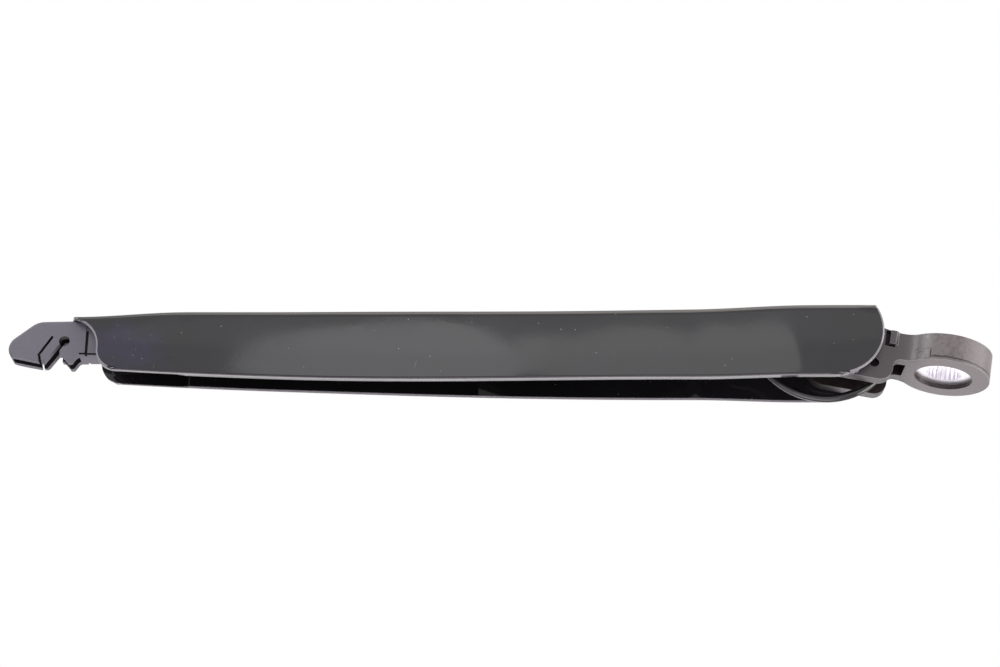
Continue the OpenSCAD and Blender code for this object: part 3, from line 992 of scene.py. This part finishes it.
# Five faint lamps whose mirror images draw the pale shapes on the near wall, rolled with the arm.
WALL_LAMPS = (
    SoftLamp(
        name="long_softbox_left",
        place_mm=(-275.4, -610, 197.7),
        aim_mm=(-275.4, 0, 197.7),
        size_mm=(124, 166),
        watts=0.072,
        colour="#fdfcff",
        roll_deg=11,
    ),
    SoftLamp(
        name="long_softbox_right",
        place_mm=(-115.4, -610, 228.8),
        aim_mm=(-115.4, 0, 228.8),
        size_mm=(175, 134),
        watts=0.055,
        roll_deg=11,
    ),
    SoftLamp(
        name="joint_low",
        place_mm=(-209.3, -610, 229.9),
        aim_mm=(-209.3, 0, 229.9),
        size_mm=(24, 68),
        watts=0.0059,
        roll_deg=11,
        shape="RECTANGLE",
    ),
    SoftLamp(
        name="joint_high",
        place_mm=(-193.5, -610, 258.5),
        aim_mm=(-193.5, 0, 258.5),
        size_mm=(18, 20),
        watts=0.00107,
        roll_deg=11,
        shape="RECTANGLE",
    ),
    SoftLamp(
        name="wide_softbox",
        place_mm=(-177.4, -640, 302.0),
        aim_mm=(-177.4, 0, 302.0),
        size_mm=(540, 96),
        watts=0.032,
        roll_deg=11,
    ),
)

# Large lamps that light the whole part from above, below, both ends and behind.
ROOM_LAMPS = (
    SoftLamp("top_softbox", (-140, -120, 620), (-134, 0, 0), (800, 500), 1.7, "#fff6ec"),
    SoftLamp("low_fill", (60, -420, -420), (-60, 0, 0), (500, 500), 0.5, "#fbf6ff"),
    SoftLamp("low_strip", (-64, -250, -630), (-134, 0, 0), (900, 150), 1.5, "#fff4fa"),
    SoftLamp("right_low_softbox", (510, -110, -240), (-20, 0, 0), (300, 300), 1.5, "#fff7f6"),
    SoftLamp("right_softbox", (530, -190, 300), (0, 0, 0), (800, 260), 2.2, "#fffafc"),
    SoftLamp("left_front_softbox", (-900, -520, 440), (0, 0, 0), (500, 450), 4.3),
    SoftLamp("rear_low_strip", (-160, 560, -270), (-134, 0, 0), (900, 340), 0.9, "#fdf8fb"),
)


@dataclass
class Studio:
    """Camera, soft lamps, white surroundings and a pale floor."""

    lens_mm: float = 77.98
    sensor_mm: float = 36.0
    eye_mm: Millimetres = (-85.59, -610.01, -264.55)
    target_mm: Millimetres = (-134.52, 0.0, -12.84)
    upward: tuple[float, float, float] = (-0.1759, -0.3875, 0.9050)
    ambient: float = 0.55
    floor_mm: float = -1250.0
    floor_side_mm: float = 9000.0
    floor_roughness: float = 0.8
    floor_glow: float = 0.34

    def build(self) -> None:
        """Sets up everything that isn't the object."""
        self.camera()
        self.world()
        self.floor()
        for lamp in WALL_LAMPS + ROOM_LAMPS:
            lamp.hang()
        bpy.context.scene.view_settings.view_transform = "Standard"

    def camera(self) -> None:
        """Places the camera where the photograph was taken from."""
        data = bpy.data.cameras.new("camera")
        data.lens = self.lens_mm
        data.sensor_width = self.sensor_mm
        data.sensor_fit = "HORIZONTAL"
        data.clip_start = 0.01
        data.clip_end = 20.0
        camera = bpy.data.objects.new("camera", data)
        eye = Vector(self.eye_mm) * MM
        back = (eye - Vector(self.target_mm) * MM).normalized()
        right = Vector(self.upward).cross(back).normalized()
        up = back.cross(right)
        turn = Matrix((right, up, back)).transposed()
        camera.matrix_world = Matrix.Translation(eye) @ turn.to_4x4()
        bpy.context.scene.collection.objects.link(camera)
        bpy.context.scene.camera = camera

    def world(self) -> None:
        """Makes the surroundings white to the eye and in reflections, and dimmer as a light."""
        world = bpy.data.worlds.new("white_sweep")
        world.use_nodes = True
        tree = world.node_tree
        tree.nodes.clear()
        path = add_node(tree, "ShaderNodeLightPath").outputs
        rays = [path[name] for name in ("Is Camera Ray", "Is Glossy Ray", "Is Transmission Ray")]
        strength = ramp(tree, joined(tree, "MAXIMUM", rays), (0.0, 1.0), (self.ambient, 1.0))
        white = add_node(
            tree, "ShaderNodeBackground", {"Color": linear_rgba("#ffffff")}, {"Strength": strength}
        )
        add_node(tree, "ShaderNodeOutputWorld", {}, {"Surface": white.outputs["Background"]})
        bpy.context.scene.world = world

    def floor(self) -> None:
        """Lays the pale floor well below the part; to the camera it glows a little."""
        form = bmesh.new()
        bmesh.ops.create_grid(form, x_segments=1, y_segments=1, size=self.floor_side_mm * MM / 2)
        bmesh.ops.translate(form, verts=form.verts, vec=(0, 0, self.floor_mm * MM))
        mesh = bpy.data.meshes.new("floor")
        form.to_mesh(mesh)
        form.free()
        floor = bpy.data.objects.new("floor", mesh)
        bpy.context.scene.collection.objects.link(floor)
        material = bpy.data.materials.new("white_paper")
        material.use_nodes = True
        tree = material.node_tree
        shader = tree.nodes["Principled BSDF"]
        shader.inputs["Base Color"].default_value = linear_rgba("#f7f7f7")
        shader.inputs["Roughness"].default_value = self.floor_roughness
        shader.inputs["Emission Color"].default_value = linear_rgba("#ffffff")
        seen = add_node(tree, "ShaderNodeLightPath").outputs["Is Camera Ray"]
        glow = computed(tree, "MULTIPLY", seen, self.floor_glow)
        tree.links.new(glow, shader.inputs["Emission Strength"])
        mesh.materials.append(material)


def main() -> None:
    """Builds the part's looks and the studio."""
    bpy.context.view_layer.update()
    for assembly in (MountingHead(), ChannelArm(), PullGear()):
        assembly.build()
        assembly.report()
    Studio().build()


if __name__ == "__main__":
    main()
